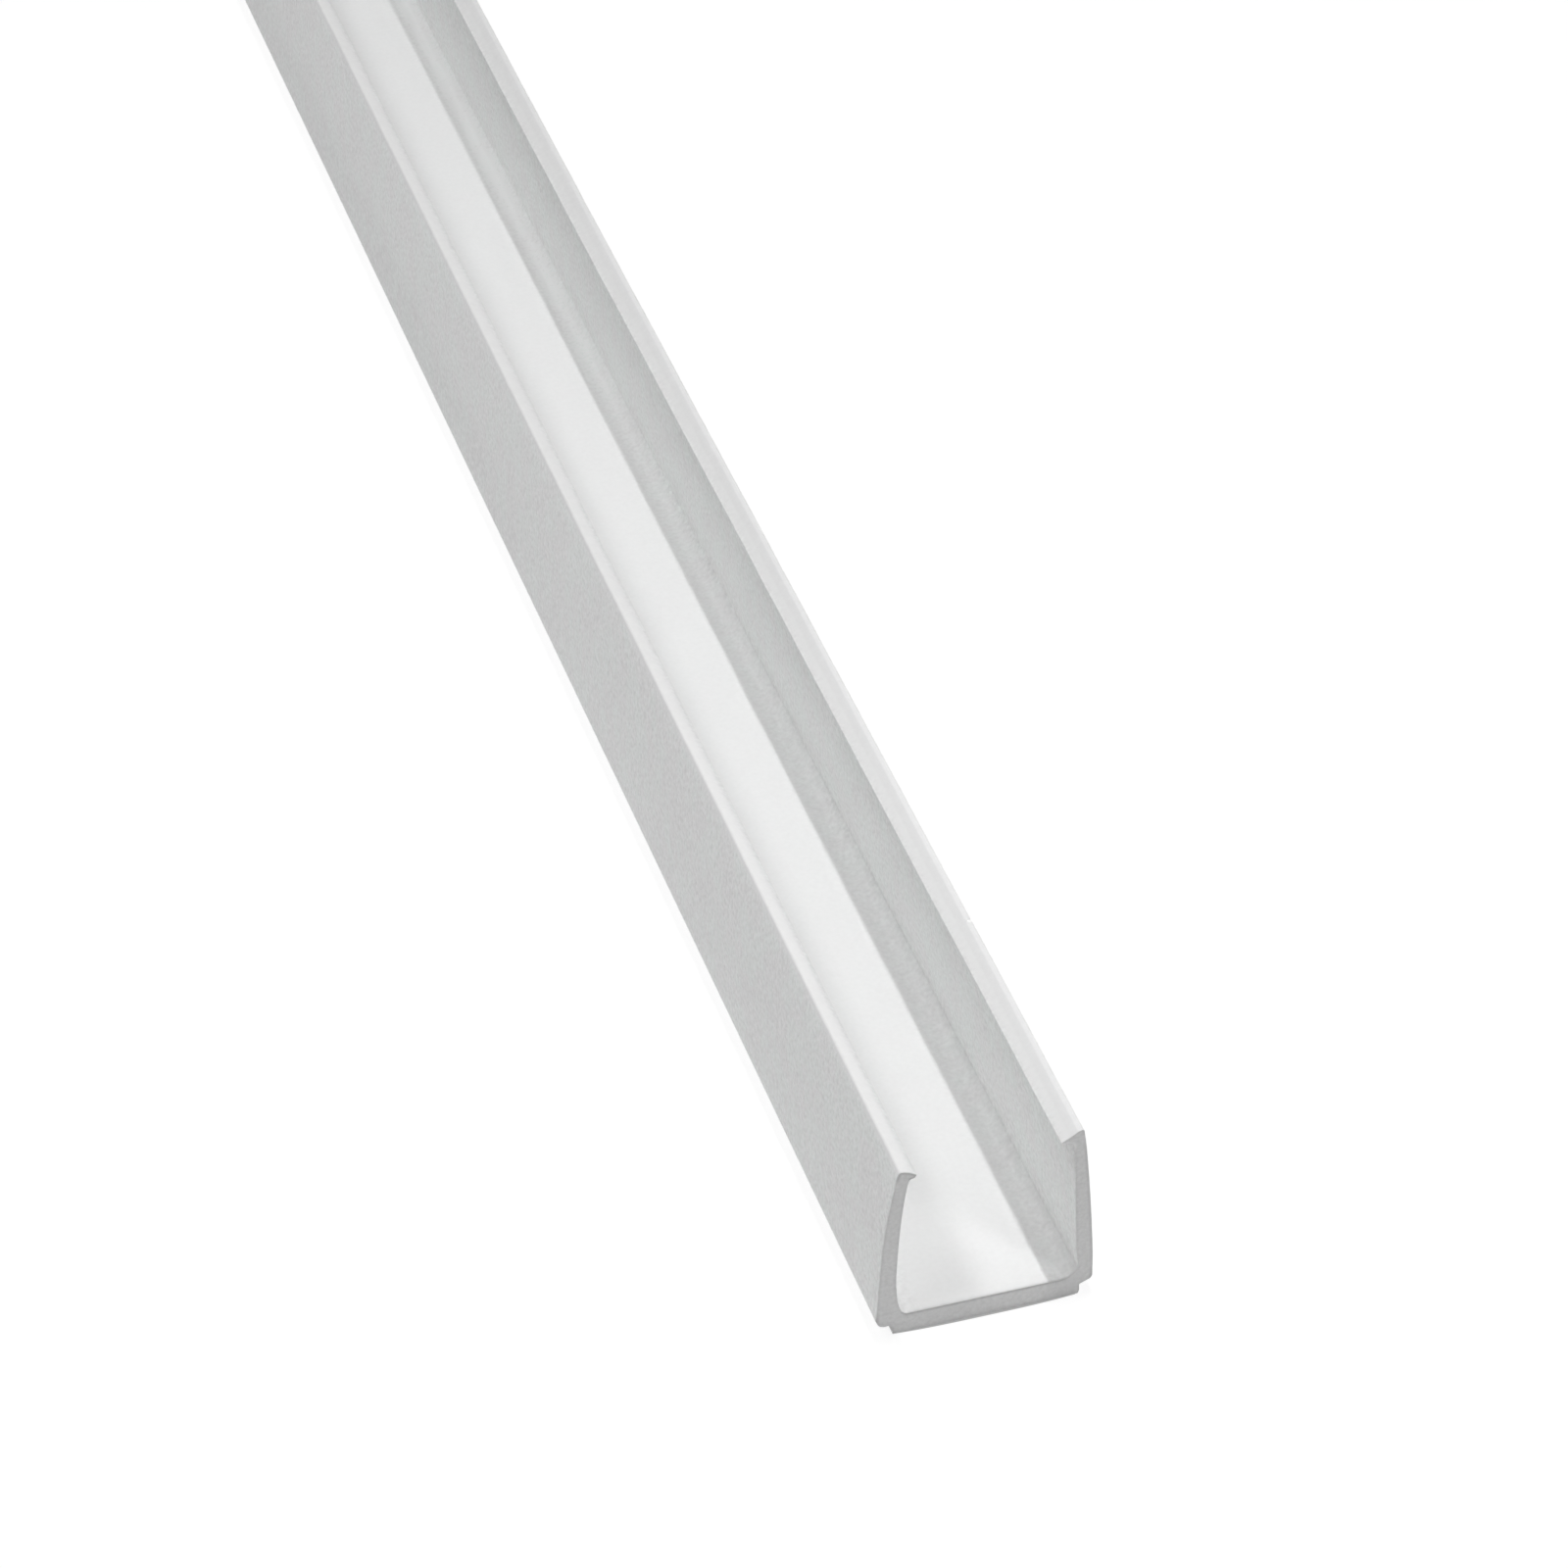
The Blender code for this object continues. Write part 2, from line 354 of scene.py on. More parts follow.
LEFT_HALF = [
    (-7.22, 2.10, 0.40),  # floor ends
    (-7.64, 2.42, 0.60),
    (-7.95, 3.45, 3.00),  # tall, narrow fillet
    (-8.17, 5.60, SMOOTH),  # inner face
    (-8.06, 9.00, SMOOTH),
    (-7.74, 13.6, SMOOTH),
    (-7.27, 16.95, SMOOTH),
    (-7.08, 17.58, 0.25),  # root
    (-6.66, 17.65, 0.10),  # nose
    (-6.47, 17.98, 0.12),
    (-7.16, 18.46, 2.00),  # lip, top face
    (-8.04, 18.63, 0.24),  # crown
    (-8.29, 18.00, 1.20),
    (-8.84, 15.0, SMOOTH),  # outer face, bent further in
    (-9.34, 11.8, SMOOTH),
    (-9.68, 7.50, SMOOTH),
    (-9.91, 3.10, 4.00),
    (-10.0, 1.84, 0.42),  # heel, bulging a little
    (-9.74, 1.22, 0.50),
    (-9.30, 0.97, 0.40),
    (-8.77, 1.02, 0.05),  # base meets the pad
    (-8.40, 0.00, 0.12),  # pad, lower edge, toed in
]

print("corners: right half", len(RIGHT_HALF), "and left half", len(LEFT_HALF))

# %% [markdown]
# ## From corners to a smooth outline
#
# Each corner is swapped for an arc that touches both neighbouring runs. Blender's own bevel on a
# curve could do this, but it uses one radius for all corners. Working the arcs out takes a few
# lines and keeps every radius, as long as no arc takes more than half of a run. Afterwards long
# straight runs are given points in between, because the piece will waver slightly along its
# length and needs vertices that can follow.

# %% Round the corners
ARC_STEP = math.radians(13.0)
ARC_SHARE = 0.499
LONGEST_RUN = 0.85


def rounded(corners):
    """The closed outline with each corner swapped for an arc between its neighbours."""
    spots = [Vector((x, z)) for x, z, radius in corners]
    outline = []
    for index, (x, z, radius) in enumerate(corners):
        before = spots[index - 1] - spots[index]
        after = spots[(index + 1) % len(spots)] - spots[index]
        turn = math.atan2((-before).cross(after), (-before).dot(after))
        room = ARC_SHARE * min(before.length, after.length)
        reach = min(radius * math.tan(abs(turn) / 2), room)
        start = spots[index] + before.normalized() * reach
        bend = reach / math.tan(turn / 2)
        centre = start + Vector((before.y, -before.x)).normalized() * bend
        steps = max(2, math.ceil(abs(turn) / ARC_STEP))
        for step in range(steps + 1):
            spoke = start - centre
            spoke.rotate(Matrix.Rotation(turn * step / steps, 2))
            outline.append(centre + spoke)
    return outline


def with_points_between(outline, longest):
    """The outline with extra points where two neighbours are further apart than that."""
    filled = []
    for index, point in enumerate(outline):
        following = outline[(index + 1) % len(outline)]
        pieces = max(1, math.ceil((following - point).length / longest))
        filled += [point.lerp(following, step / pieces) for step in range(pieces)]
    return filled


outline = with_points_between(rounded(RIGHT_HALF + LEFT_HALF), LONGEST_RUN)
print("outline has", len(outline), "points")

# %% [markdown]
# ## Where the outline gives way
#
# Three places on the section change along the length. The thin lips cool last and waver by a few
# hundredths of a millimetre, the groove at the right wall's foot wanders up and down, and on this
# piece the right crown has a tiny nick from a knock. How much each point of the outline takes
# part is worked out once, as a weight from 0 to 1, so that the sweep only has to multiply.

# %% Weigh the points of the outline
LIP_STARTS = 15.5
LIP_FREE = 18.0
GROOVE_PLACE = Vector((8.56, 3.02))
GROOVE_REACH = 0.6
NICK_PLACE = Vector((8.56, 19.12))
NICK_REACH = 0.34


def eased(value, start, end):
    """0 at the start, 1 at the end, with a soft start and finish."""
    share = min(max((value - start) / (end - start), 0.0), 1.0)
    return share * share * (3 - 2 * share)


lip_weights = [eased(point.y, LIP_STARTS, LIP_FREE) for point in outline]
groove_weights = [1 - eased((point - GROOVE_PLACE).length, 0.0, GROOVE_REACH) for point in outline]
nick_weights = [1 - eased((point - NICK_PLACE).length, 0.0, NICK_REACH) for point in outline]
print("points that move with the groove:", sum(weight > 0 for weight in groove_weights))

# %% [markdown]
# ## Rows along the length
#
# The outline is repeated in rows from end to end. Rows every 1.9 mm are close enough for the
# slow waver. They are closer at the two ends, where the saw has left a tiny rounded edge, and at
# the nick in the right crown. The rounded edge comes from insetting the outline by the shape of
# a quarter circle over the last few hundredths of a millimetre.

# %% Set out the rows
HALF_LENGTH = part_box("channel_profile")[1].y / MM
ROW_GAP = 1.9
CUT_RADIUS = 0.05
NEAR_CUT = (0.15, 0.3, 0.5, 0.8, 1.2)
NICK_Y = -220.1
NICK_LENGTH = 0.20
ROWS_BESIDE_NICK = 4
NICK_CLEARANCE = 2.4


def rows():
    """Pairs of place along the length and inset of the outline there, from end to end."""
    quarter = [math.radians(angle) for angle in (0, 30, 60, 90)]
    edge = [(CUT_RADIUS * (1 - math.cos(a)), CUT_RADIUS * (1 - math.sin(a))) for a in quarter]
    edge += [(depth, 0.0) for depth in NEAR_CUT]
    front = [(-HALF_LENGTH + depth, inset) for depth, inset in edge]
    back = [(HALF_LENGTH - depth, inset) for depth, inset in reversed(edge)]
    first, last = front[-1][0], back[0][0]
    count = round((last - first) / ROW_GAP)
    middle = [first + (last - first) * step / count for step in range(1, count)]
    beside_nick = range(-ROWS_BESIDE_NICK, ROWS_BESIDE_NICK + 1)
    nick = [NICK_Y + step * NICK_LENGTH / 2 for step in beside_nick]
    clear = [y for y in middle if abs(y - NICK_Y) > NICK_CLEARANCE * NICK_LENGTH]
    return front + [(y, 0.0) for y in sorted(clear + nick)] + back


row_list = rows()
print("rows:", len(row_list), "so the skin has", 2 * len(row_list) * len(outline), "triangles")

# %% Let the lips and the groove wander
LIP_WAVER = 0.035
LIP_WAVE = 9.0
WALL_WAVER = 0.05
WALL_WAVE = 70.0
GROOVE_WANDER = 0.07
GROOVE_WAVES = (14.0, 6.0)
SHORT_WAVE_SHARE = 0.3
COURSE_GAP = 7.3
RIGHT_COURSE, LEFT_COURSE, GROOVE_COURSE, SHORT_COURSE = 1, 2, 3, 4


def slow_noise(y, wavelength, course):
    """Smooth noise from -1 to 1 along the length; each course is its own line through it."""
    return noise.noise(Vector((y / wavelength, COURSE_GAP * course, 0.5)))


def groove_rise(y):
    """How far the groove has wandered up at this place along the length."""
    long_wave = slow_noise(y, GROOVE_WAVES[0], GROOVE_COURSE)
    short_wave = slow_noise(y, GROOVE_WAVES[1], SHORT_COURSE)
    return GROOVE_WANDER * (long_wave + SHORT_WAVE_SHARE * short_wave)


print("widest waver of a lip:", LIP_WAVER + WALL_WAVER, "mm")

# %% Bend the outline for one row
NICK_DEPTH = 0.36
NICK_LEAN = 0.6


def outward(points):
    """Directions that point out of the solid, one for each point of the outline."""
    directions = []
    for index in range(len(points)):
        along = points[(index + 1) % len(points)] - points[index - 1]
        directions.append(Vector((along.y, -along.x)).normalized())
    return directions


def row_points(y, inset):
    """The outline in millimetres at one place along the length, with all its small errors."""
    nick = NICK_DEPTH * math.exp(-(((y - NICK_Y) / NICK_LENGTH) ** 2))
    points = []
    for index, point in enumerate(outline):
        course = RIGHT_COURSE if point.x > 0 else LEFT_COURSE
        across = LIP_WAVER * slow_noise(y, LIP_WAVE, course)
        across += WALL_WAVER * slow_noise(y, WALL_WAVE, course)
        dent = nick_weights[index] * nick
        moved = Vector(point)
        moved.x += lip_weights[index] * across - NICK_LEAN * dent
        moved.y += groove_weights[index] * groove_rise(y) - dent
        points.append(moved)
    if inset > 0:
        points = [point - inset * out for point, out in zip(points, outward(points))]
    return points


print("deepest place of the nick:", NICK_DEPTH, "mm")

# %% [markdown]
# ## The sawn face
#
# The two end faces could be single flat polygons, but on the real ones the saw has smeared the
# warm plastic here and there along the border, and a mask for those smears needs vertices inside
# the face. So the face is filled with small triangles: four rings of points close behind the
# border, a coarser grid further in, and a Delaunay triangulation that joins them all and keeps to
# the border.

# %% Tell which points lie in a face
RIM_RINGS = (0.07, 0.15, 0.24, 0.36)
RING_GAP = 0.22


def nearest_to(points):
    """A finder that tells which of these points is nearest to a spot, and how far away."""
    tree = kdtree.KDTree(len(points))
    for index, point in enumerate(points):
        tree.insert((point.x, point.y, 0.0), index)
    tree.balance()
    return lambda spot: tree.find((spot[0], spot[1], 0.0))[1:]


def point_inside(point, polygon):
    """True if the point is inside the polygon, by counting the edges to its right."""
    inside = False
    for a, b in zip(polygon, polygon[1:] + polygon[:1]):
        if (a.y > point.y) != (b.y > point.y):
            crossing = a.x + (point.y - a.y) * (b.x - a.x) / (b.y - a.y)
            inside ^= crossing > point.x
    return inside


print("rings behind the border, in mm:", RIM_RINGS)

# %% Fill a sawn face
RING_KEPT = 0.96
FACE_WIDTH = 20.0
FACE_HEIGHT = 19.2
FACE_GRID = 0.42
GRID_MARGIN = 0.12
DEEPEST_INSIDE = 1.2
TRIANGLES_INSIDE = 1
SAME_SPOT = 1e-6


def ring_spots(close, nearest):
    """Points in rings behind the border; those that come too near another stretch are left out."""
    spots = []
    for depth in RIM_RINGS:
        ring = [point - depth * out for point, out in zip(close, outward(close))]
        spots += [spot for spot in ring if nearest(spot)[1] > RING_KEPT * depth]
    return spots


def grid_spots(nearest):
    """Points of a staggered grid over the whole section, where it is clear of the rings."""
    spots = []
    for column in range(math.ceil(FACE_WIDTH / FACE_GRID)):
        for level in range(math.ceil(FACE_HEIGHT / FACE_GRID)):
            across = (column + 0.5 * (level % 2)) * FACE_GRID
            spot = Vector((-FACE_WIDTH / 2 + across, level * FACE_GRID))
            if RIM_RINGS[-1] + GRID_MARGIN < nearest(spot)[1] < DEEPEST_INSIDE:
                spots.append(spot)
    return spots


def filled_face(border):
    """(points, triangles) that fill a closed border, in rings near it and a grid further in."""
    close = with_points_between(border, RING_GAP)
    nearest = nearest_to(close)
    spots = ring_spots(close, nearest) + grid_spots(nearest)
    inner = [spot for spot in spots if point_inside(spot, border)]
    edges = [(index, (index + 1) % len(border)) for index in range(len(border))]
    wanted = (border + inner, edges, [], TRIANGLES_INSIDE, SAME_SPOT)
    points, _, triangles, *_ = geometry.delaunay_2d_cdt(*wanted)
    return points, triangles


face_border = row_points(*row_list[0])
print("sawn face:", len(filled_face(face_border)[1]), "triangles")

# %% [markdown]
# ## Sweep the outline into one mesh
#
# Blender can sweep a curve, but then every row is the same. Here the rows differ, so the mesh is
# built directly: each row's points become vertices, and each pair of rows is joined by a band of
# quads. The sawn faces are filled in and welded on. A UV map is stored as well, with the distance
# round the section across and the length along, so that die lines can run along the channel
# however the section turns. On the sawn faces it holds the place on the face itself.

# %% Helpers for the sweep
SKIN_FACE, SAWN_FACE = 0, 1


def distances_round(points):
    """How far round the outline each point is, in metres, with the full way round at the end."""
    total = [0.0]
    for index, point in enumerate(points):
        following = points[(index + 1) % len(points)]
        total.append(total[-1] + (following - point).length * MM)
    return total


def add_face(mesh, corners, uvs, uv_layer, material):
    """One face with its UVs and its material; the sawn faces stay flat."""
    face = mesh.faces.new(corners)
    face.smooth = material == SKIN_FACE
    face.material_index = material
    for loop, uv in zip(face.loops, uvs):
        loop[uv_layer].uv = uv


print("once round the section:", round(distances_round(outline)[-1] / MM, 1), "mm")

# %% Build the mesh
WELD = 2e-7


def add_skin(mesh, uv_layer):
    """All rows of the outline, joined into bands of quads."""
    round_way = distances_round(outline)
    previous = None
    for y, inset in row_list:
        ring = [mesh.verts.new((p.x * MM, y * MM, p.y * MM)) for p in row_points(y, inset)]
        if previous:
            for index in range(len(ring)):
                after = (index + 1) % len(ring)
                corners = (previous[0][index], ring[index], ring[after], previous[0][after])
                start, end = round_way[index], round_way[index + 1]
                near, far = previous[1] * MM, y * MM
                uvs = ((start, near), (start, far), (end, far), (end, near))
                add_face(mesh, corners, uvs, uv_layer, SKIN_FACE)
        previous = (ring, y)


def add_sawn_faces(mesh, uv_layer):
    """The filled faces at both ends; each end's border is that end's own last row."""
    for y, inset in (row_list[0], row_list[-1]):
        border = row_points(y, inset)
        points, triangles = filled_face(border)
        verts = [mesh.verts.new((p.x * MM, y * MM, p.y * MM)) for p in points]
        for triangle in triangles:
            uvs = [points[corner] * MM for corner in triangle]
            add_face(mesh, [verts[corner] for corner in triangle], uvs, uv_layer, SAWN_FACE)


mesh = bmesh.new()
uv_layer = mesh.loops.layers.uv.new("run")
add_skin(mesh, uv_layer)
add_sawn_faces(mesh, uv_layer)
bmesh.ops.remove_doubles(mesh, verts=mesh.verts, dist=WELD)
bmesh.ops.recalc_face_normals(mesh, faces=mesh.faces)
print("channel mesh:", len(mesh.verts), "vertices,", len(mesh.faces), "faces")

# %% [markdown]
# ## Painted shade and highlight along the sawn border
#
# The border of the cut isn't shaded alike all round, so shade is painted along it: darkest along
# the floor's edge and at the left lip, less at the pad and on the right wall's outside. Under the
# right lip a light line is painted as a highlight, and other stretches stay nearly clean. One even
# rim would be simpler but would look drawn on. So each point of the border gets its own painted
# shade, above 0 for dark and below 0 for light, which fades out into the face.

# %% Decide how much shade is painted along each stretch of the border
PAD_TOP = 1.6
FLOOR_EDGE_TOP = 2.2
RIGHT_OUTSIDE = 8.9
LEFT_LIP_FROM = 17.5
RIM_HIGHLIGHT_LEVELS = (17.0, 18.0)
# Shade painted along each stretch of the border; the negative value is a painted highlight.
PAD_RIM_SHADE = 0.35
FLOOR_EDGE_SHADE = 1.2
OUTER_RIM_SHADE = 0.55
INNER_RIM_SHADE = 0.25
LIP_RIM_SHADE = 0.9
RIM_HIGHLIGHT = -0.35
SPREAD = 2


def rim_shading_at(point):
    """How much shade is painted along this stretch of the border; below 0 a painted highlight."""
    if point.y < PAD_TOP:
        return PAD_RIM_SHADE
    if point.y < FLOOR_EDGE_TOP:
        return FLOOR_EDGE_SHADE
    if point.x > RIGHT_OUTSIDE:
        return OUTER_RIM_SHADE
    if point.y > LEFT_LIP_FROM and point.x < 0:
        return LIP_RIM_SHADE
    if RIM_HIGHLIGHT_LEVELS[0] < point.y < RIM_HIGHLIGHT_LEVELS[1]:
        return RIM_HIGHLIGHT
    return INNER_RIM_SHADE


def averaged_round(values, reach):
    """Each value averaged with its neighbours round the closed border."""
    count = len(values)
    window = range(-reach, reach + 1)
    return [
        sum(values[(index + step) % count] for step in window) / len(window)
        for index in range(count)
    ]


rim_points = with_points_between(face_border, RING_GAP)
rim_smears = averaged_round([rim_shading_at(point) for point in rim_points], SPREAD)
nearest_rim = nearest_to(rim_points)
print("smear along the border: from", round(min(rim_smears), 2), "to", round(max(rim_smears), 2))

# %% Mask the painted shade and highlight along the border
RIM_WIDTH = 0.34
# On the skin beside the cut: painted shade along the floor's front edge, a painted highlight
# elsewhere.
FLOOR_FRONT_SHADE = 1.0
SKIN_RIM_HIGHLIGHT = -0.1
FLOOR_LEVELS = (1.9, 3.0)
FLOOR_REACH = (5.6, 6.6)


def rim_mask(place):
    """The painted shade and highlight along the sawn border, and the thin painted fringe beside it
    on the skin.
    """
    behind = HALF_LENGTH - abs(place.y) / MM
    if behind > CUT_RADIUS:
        at_floor = FLOOR_LEVELS[0] < place.z / MM < FLOOR_LEVELS[1]
        on_floor = at_floor and abs(place.x) / MM < FLOOR_REACH[1]
        smear = FLOOR_FRONT_SHADE if on_floor else SKIN_RIM_HIGHLIGHT
        return smear * (1 - eased(behind, 0.0, RIM_WIDTH))
    index, gap = nearest_rim((place.x / MM, place.z / MM))
    return rim_smears[index] * (1 - eased(gap, 0.0, RIM_WIDTH))


print("the smears fade out within", RIM_WIDTH, "mm of the border")

# %% [markdown]
# ## Painted shade and painted light on the skin
#
# The skin's colour also carries painted light and shade. Painted shade sits in the crease of the
# groove and on the ramp beside it, mostly near the cut, and a little on the left lip's nose. The
# tops of the lips and the lower part of the left wall's outside get painted shade further back,
# while the foot gets painted light there and is paler. Noise alone could spread it, but it wouldn't
# know the groove from the wall. The places are known here, so the mask is worked out from them and
# stored on the vertices: above 0 is painted shade, below 0 is painted light.

# %% Mask the painted shade in the groove, on the ramp and on the nose
# Painted shade in the groove and on the ramp, strongest near the cut, and on the left lip's nose.
GROOVE_WIDTH = 0.34
RAMP_MIDDLE = 7.50
RAMP_REACH = (0.15, 0.60)
RAMP_SHADE = 0.35
FOOT_SHADE_RUN = (-245.0, -60.0)
FAR_SHADE_SHARE = 0.2
NOSE_PLACE = Vector((-6.60, 18.08))
NOSE_REACH = 0.45
NOSE_SHADE = 0.45


def foot_shade(spot, y):
    """Painted shade in the crease of the groove and on the ramp beside it, weaker away from the
    cut.
    """
    bottom = GROOVE_PLACE + Vector((0.0, groove_rise(y)))
    in_groove = 1 - eased((spot - bottom).length, 0.0, GROOVE_WIDTH)
    below_groove = spot.y < GROOVE_PLACE.y
    on_ramp = 1 - eased(abs(spot.x - RAMP_MIDDLE), *RAMP_REACH) if below_groove else 0.0
    weakened = 1 - (1 - FAR_SHADE_SHARE) * eased(y, *FOOT_SHADE_RUN)
    return max(in_groove, RAMP_SHADE * on_ramp) * weakened


def nose_shade(spot):
    """Painted shade along the left lip's nose."""
    return NOSE_SHADE * (1 - eased((spot - NOSE_PLACE).length, 0.0, NOSE_REACH))


print("dust on the ramp:", RAMP_SHADE, "at the cut,", round(RAMP_SHADE * FAR_SHADE_SHARE, 2), "further back")

# %% Mask the painted shade further back and the painted light at the foot
# Painted shade low on the left wall and on the lips' tops, growing further back.
WALL_SHADE = 0.62
WALL_SHADE_RUN = (-170.0, -90.0)
WALL_SHADE_LEVELS = (5.0, 12.0)
WALL_SKIN = 8.8
LIP_TOP_SHADE = 0.40
LIP_TOP_SHADE_RUN = (-210.0, -150.0)
LIP_TOP_LEVELS = (17.9, 18.4)
# Painted light on the ramp and the groove, growing towards the back.
FOOT_LIGHT = 0.75
FOOT_LIGHT_MIDDLE = 7.40
FOOT_LIGHT_REACH = (0.9, 1.3)
FOOT_LIGHT_RUN = (-190.0, -50.0)


def far_shade(spot, y):
    """Painted shade low on the left wall's outside and on the tops of the lips, further back."""
    on_wall = eased(y, *WALL_SHADE_RUN) * (1 - eased(spot.y, *WALL_SHADE_LEVELS))
    on_wall = on_wall if spot.x < -WALL_SKIN else 0.0
    on_lips = eased(spot.y, *LIP_TOP_LEVELS) * eased(y, *LIP_TOP_SHADE_RUN)
    return max(WALL_SHADE * on_wall, LIP_TOP_SHADE * on_lips)


def foot_light(spot, y):
    """How much painted light the ramp and the groove get towards the back."""
    if not FLOOR_LEVELS[0] < spot.y < GROOVE_PLACE.y + GROOVE_WIDTH:
        return 0.0
    at_foot = 1 - eased(abs(spot.x - FOOT_LIGHT_MIDDLE), *FOOT_LIGHT_REACH)
    return FOOT_LIGHT * (eased(y, *FOOT_LIGHT_RUN) * at_foot)


def painted_shading_mask(place):
    """How much painted shade a place gets; below 0 where painted light makes it lighter."""
    spot, y = Vector((place.x, place.z)) / MM, place.y / MM
    return max(foot_shade(spot, y), nose_shade(spot), far_shade(spot, y)) - foot_light(spot, y)


print("film on the left wall:", WALL_SHADE, "and on the lips:", LIP_TOP_SHADE)

# %% [markdown]
# ## Calm places
#
# The floor and the tops of the lips left the die smoother than the rest and look more even. A
# third mask marks them, and the finish lets its mottling and its relief rest there. All three
# masks are then stored on the vertices under a name each, which the finishes read.

# %% Mask the calm places and store all masks
FOOT_CALM = 0.45


def calm_mask(place):
    """1 on the channel's floor, less on the foot beside it, and 1 on the tops of the lips."""
    level, off_middle = place.z / MM, abs(place.x) / MM
    if FLOOR_LEVELS[0] < level < FLOOR_LEVELS[1] and off_middle < WALL_SKIN:
        return 1 - (1 - FOOT_CALM) * eased(off_middle, *FLOOR_REACH)
    return eased(level, *LIP_TOP_LEVELS)


# The mask of painted shade and light is stored under its own name, next to the others.
for name, mask in (("sawn_rim", rim_mask), ("painted_shading", painted_shading_mask), ("calm", calm_mask)):
    layer = mesh.verts.layers.float.new(name)
    for vertex in mesh.verts:
        vertex[layer] = mask(vertex.co)
print("masks:", mesh.verts.layers.float.keys())

# %% Turn the mesh into the channel
channel_mesh = bpy.data.meshes.new("channel")
mesh.to_mesh(channel_mesh)
mesh.free()
channel = bpy.data.objects.new("channel", channel_mesh)
scene.collection.objects.link(channel)
print("channel:", len(channel_mesh.polygons), "faces")

# %% [markdown]
# ## Mottling and grain, shared by both finishes
#
# White PVC is never one flat white. The skin has cloudy patches a few millimetres across, where
# the tone slides between neutral and faintly green, and over them a grain as fine as the
# photograph can show. The sawn face has the same plastic without the tint. Both finishes use this
# one group: the patches come from a broad noise, the grain from a fine one that makes the colour
# a little lighter or darker. One input calms all of it where the surface is more even.

# %% Build the mottling group
PATCH_TURN = (0.43, 0.57)


def swing(group, value, strength):
    """A value round 0.5, turned into a change round 0."""
    return arithmetic(group, "MULTIPLY", arithmetic(group, "SUBTRACT", value, 0.5), strength)


def mottling_group():
    """Cloudy patches between two tints, with fine grain; also gives the grain as a value."""
    inputs = {
        "Place": "vector",
        "First Tint": "colour",
        "Second Tint": "colour",
        "Patches per Metre": "value",
        "Grains per Metre": "value",
        "Cloud Strength": "value",
        "Grain Strength": "value",
        "Liveliness": "value",
    }
    group, given, result = open_group("mottling", inputs, {"Colour": "colour", "Grain": "value"})
    broad = {"Vector": given["Place"], "Scale": given["Patches per Metre"]}
    broad |= {"Detail": 4.0, "Roughness": 0.65}
    patch = add_node(group, "ShaderNodeTexNoise", broad).outputs["Fac"]
    fine = {"Vector": given["Place"], "Scale": given["Grains per Metre"], "Detail": 2.0}
    grain = add_node(group, "ShaderNodeTexNoise", fine).outputs["Fac"]

    share = {"Value": patch, "From Min": PATCH_TURN[0], "From Max": PATCH_TURN[1]}
    share |= {"To Max": given["Liveliness"]}
    share = add_node(group, "ShaderNodeMapRange", share).outputs["Result"]
    tint = mixed_colour(group, share, given["First Tint"], given["Second Tint"])

    speck = swing(group, grain, given["Grain Strength"])
    cloud = swing(group, patch, given["Cloud Strength"])
    change = arithmetic(group, "ADD", speck, cloud)
    change = arithmetic(group, "MULTIPLY", change, given["Liveliness"])
    level = arithmetic(group, "ADD", 1.0, change)
    group.links.new(toned_colour(group, tint, level), result["Colour"])
    group.links.new(grain, result["Grain"])
    return group


mottling = mottling_group()
print("group", mottling.name, "with", len(mottling.nodes), "nodes")

# %% [markdown]
# ## Uneven painted shade, shared by both finishes
#
# The masks on the vertices end in smooth, perfect bands. Real shading is uneven: the painted shade
# along the sawn border is wider here and thinner there. This group roughens a mask with noise and
# gives the colour back, darkened or lightened by it. A noise alone would put its blotches anywhere;
# multiplied with the mask they stay where the painted shade and light are.

# %% Build the edge group
def edge_group():
    """Makes a colour darker or lighter by a mask that noise has roughened."""
    inputs = {
        "Place": "vector",
        "Colour": "colour",
        "Edge Tone": "value",
        "Mask": "value",
        "Breaks per Metre": "value",
    }
    group, given, result = open_group("uneven edge", inputs, {"Colour": "colour"})
    breaks = {"Vector": given["Place"], "Scale": given["Breaks per Metre"], "Detail": 2.0}
    rough = add_node(group, "ShaderNodeTexNoise", breaks).outputs["Fac"]
    wobble = arithmetic(group, "ADD", rough, 0.5)
    mask = arithmetic(group, "MULTIPLY", given["Mask"], wobble)
    mask = arithmetic(group, "MINIMUM", mask, 1.0)
    darker = arithmetic(group, "SUBTRACT", given["Edge Tone"], 1.0)
    level = arithmetic(group, "ADD", 1.0, arithmetic(group, "MULTIPLY", darker, mask))
    group.links.new(toned_colour(group, given["Colour"], level), result["Colour"])
    return group


uneven_edge = edge_group()
print("group", uneven_edge.name, "with", len(uneven_edge.nodes), "nodes")

# %% [markdown]
# ## What the two finishes have in common
#
# The skin and the sawn face are the same plastic, so their materials are built alike: mottling
# first, then the painted shade and light over it, then a roughness and a fine relief that follow
# the same grain.
# Each could be written out on its own, but small helpers keep the two in step and leave only
# the differences to be read in the materials themselves.

# %% Helpers for the materials
def plain_material(name):
    """A material with an empty Principled shader, and its tree."""
    material = bpy.data.materials.new(name)
    material.use_nodes = True
    tree = material.node_tree
    return material, tree, tree.nodes["Principled BSDF"]


def stored_mask(tree, name):
    """The value that the mesh stores under this name."""
    return add_node(tree, "ShaderNodeAttribute", attribute_name=name).outputs["Fac"]


def painted_shade_colour(tree, place, colour, tone, mask_name, breaks):
    """The colour, brought towards this tone where the stored mask of painted shade or light is
    high.
    """
    values = {"Place": place, "Colour": colour, "Edge Tone": tone}
    values |= {"Mask": stored_mask(tree, mask_name), "Breaks per Metre": breaks}
    return place_group(tree, uneven_edge, values)["Colour"]


